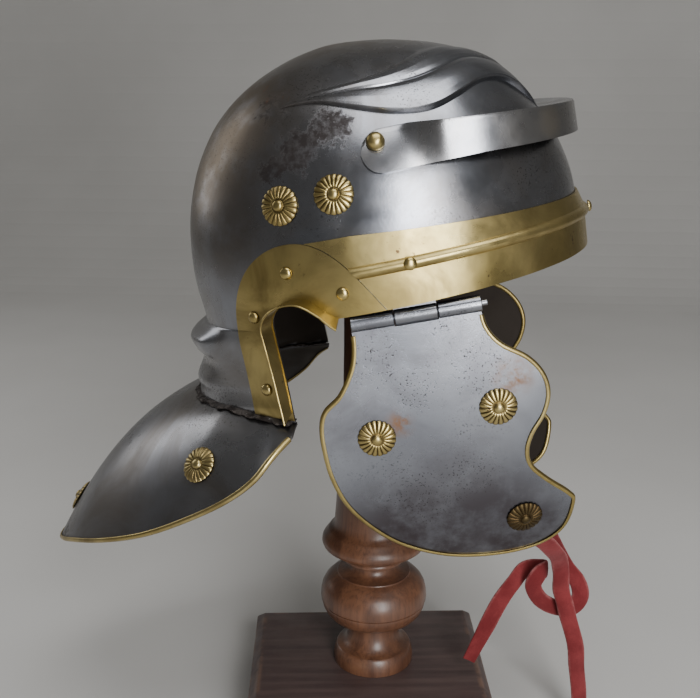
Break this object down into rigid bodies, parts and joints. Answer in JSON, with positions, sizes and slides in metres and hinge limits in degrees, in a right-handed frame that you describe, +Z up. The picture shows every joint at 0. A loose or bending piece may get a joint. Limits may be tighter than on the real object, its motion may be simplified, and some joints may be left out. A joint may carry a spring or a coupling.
{
  "type": "roman legionary helmet on a turned wooden stand",
  "caption": "Steel legionary helmet with brow peak, brass brow band and ear guards, broad neck guard and hinged cheek guards, tied with a chin lace and carried on a turned wooden stand.",
  "frame": {"origin": "underside of the stand's board, below the axis of the post", "axes": "+X is the way the face looks, +Y is the wearer's left, +Z is up along the post"},
  "size_m": [0.3663, 0.221, 0.4471],
  "materials": {
    "steel": "polished steel with brown tarnish and pitting",
    "brass": "aged yellow brass, brown in its hollows",
    "lace": "red suede with paler edges",
    "post": "turned and varnished brown",
    "board": "dark brown stain, worn at the edges"
  },
  "bodies": {
    "root": {"bowl": "steel", "brow_band": "brass", "peak": "steel", "neck_guard": "steel", "neck_binding": "brass", "ear_guard_right": "brass", "ear_rivet_right_1": "brass", "ear_rivet_right_2": "brass", "ear_rivet_right_3": "brass", "ear_rivet_right_4": "brass", "skull_rosette_right_rear": "brass", "skull_rosette_right_front": "brass", "peak_rivet_right": "brass", "band_rivet_right": "brass", "hinge_plate_right": "steel", "hinge_pin_right": "steel", "cheek_guard_right": "steel", "cheek_binding_right": "brass", "cheek_rosette_right_rear": "brass", "cheek_rosette_right_front": "brass", "cheek_rosette_right_chin": "brass", "ear_guard_left": "brass", "ear_rivet_left_1": "brass", "ear_rivet_left_2": "brass", "ear_rivet_left_3": "brass", "ear_rivet_left_4": "brass", "skull_rosette_left_rear": "brass", "skull_rosette_left_front": "brass", "peak_rivet_left": "brass", "band_rivet_left": "brass", "hinge_plate_left": "steel", "hinge_pin_left": "steel", "cheek_guard_left": "steel", "cheek_binding_left": "brass", "cheek_rosette_left_rear": "brass", "cheek_rosette_left_front": "brass", "cheek_rosette_left_chin": "brass", "neck_rosette_right": "brass", "neck_rosette_rear": "brass", "neck_rosette_left": "brass", "band_rivet_front": "brass", "stand_post": "post", "stand_base": "board", "lace_right": "lace", "lace_left": "lace"}
  },
  "joints": []
}
